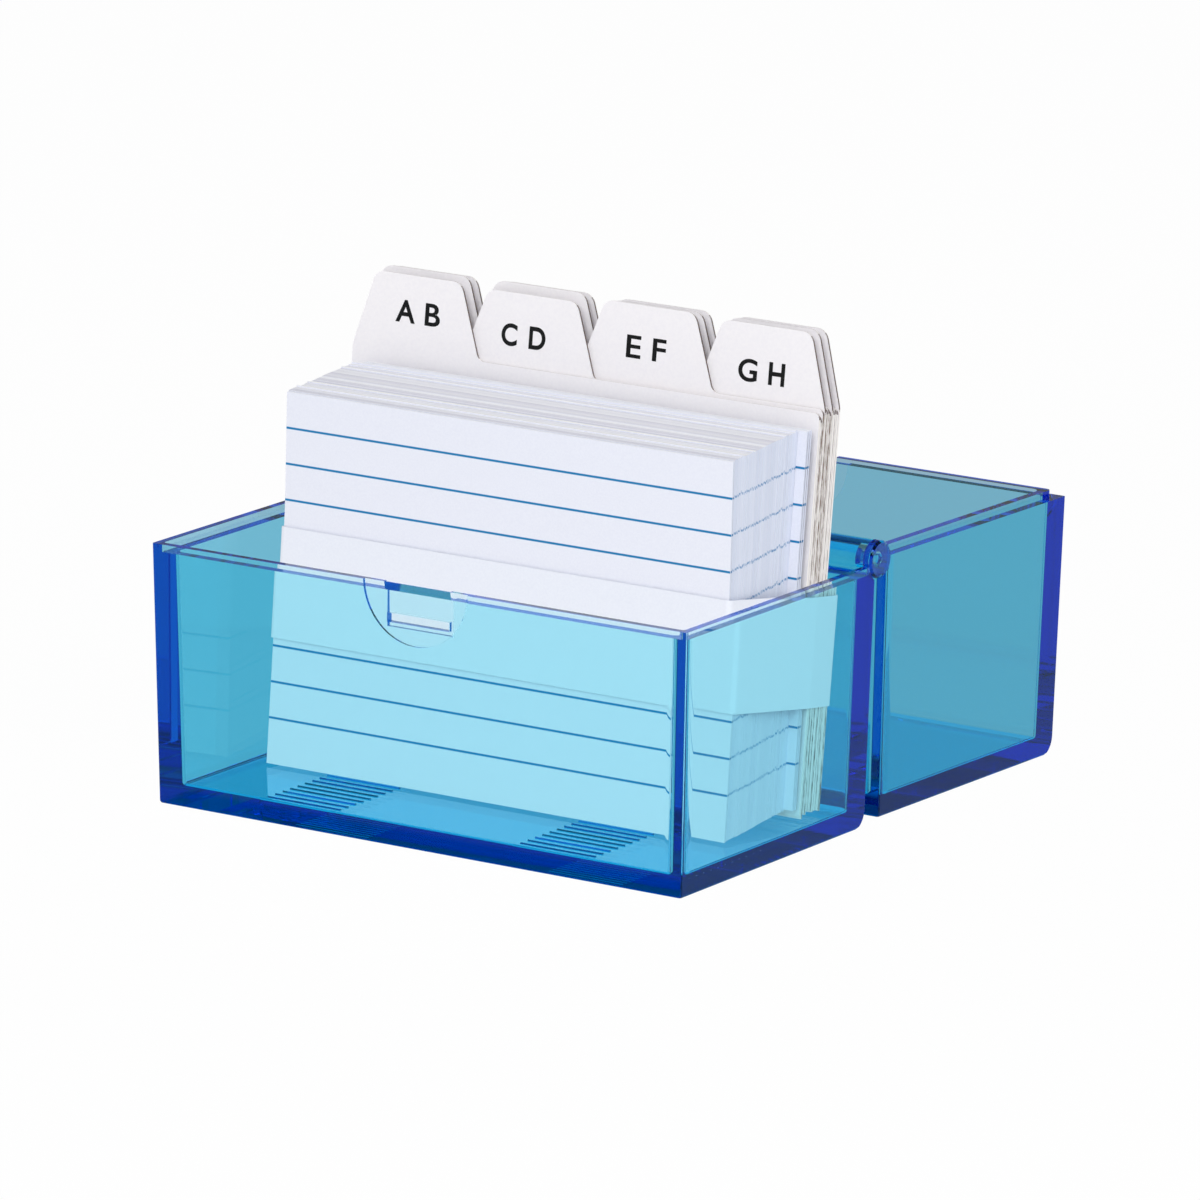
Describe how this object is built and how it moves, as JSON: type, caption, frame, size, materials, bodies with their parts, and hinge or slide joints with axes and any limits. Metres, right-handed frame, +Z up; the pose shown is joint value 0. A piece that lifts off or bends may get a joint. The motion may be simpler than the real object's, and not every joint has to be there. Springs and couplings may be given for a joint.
{
  "type": "index card box",
  "caption": "Translucent flip-top box for small index cards, shown open: tray and matching lid on a rear hinge roll, with a banded pack of ruled cards and tab dividers.",
  "frame": {"origin": "centre of the base tray's underside, at the table", "axes": "X is the width, -Y is the front with the thumb recess, +Y runs over the hinge to the open lid, and Z is up"},
  "size_m": [0.0874, 0.0968, 0.0691],
  "materials": {
    "base_plastic": "gloss",
    "lid_plastic": "gloss",
    "card_paper": "matte",
    "divider_board": "matte",
    "band_paper": "matte"
  },
  "bodies": {
    "base": {"base_tray": "base_plastic"},
    "lid": {"lid_shell": "lid_plastic"},
    "card_pack": {"front_card": "card_paper", "card_bundle_1": "card_paper", "card_bundle_2": "card_paper", "card_bundle_3": "card_paper", "card_bundle_4": "card_paper", "card_bundle_5": "card_paper", "loose_card_1": "card_paper", "loose_card_2": "card_paper", "loose_card_3": "card_paper", "divider_ab": "divider_board", "divider_cd": "divider_board", "divider_ef": "divider_board", "divider_gh": "divider_board", "divider_ij": "divider_board", "divider_kl": "divider_board", "divider_mn": "divider_board", "divider_op": "divider_board", "divider_qr": "divider_board", "divider_st": "divider_board", "divider_uv": "divider_board", "divider_wz": "divider_board", "paper_band": "band_paper"}
  },
  "joints": [
    {"name": "lid_hinge", "type": "hinge", "parent": "base", "child": "lid", "pos_m": [0, 0.0249, 0.03734], "axis": [1, 0, 0], "range_deg": [0, 180.62]},
    {"name": "card_pack_tilt", "type": "hinge", "parent": "base", "child": "card_pack", "pos_m": [0, -0.00446, 0.00295], "axis": [1, 0, 0], "range_deg": [0, 4.62]}
  ],
  "couplings": [
    {"joint": "card_pack_tilt", "follows": "lid_hinge", "ratio": 0.025468}
  ]
}
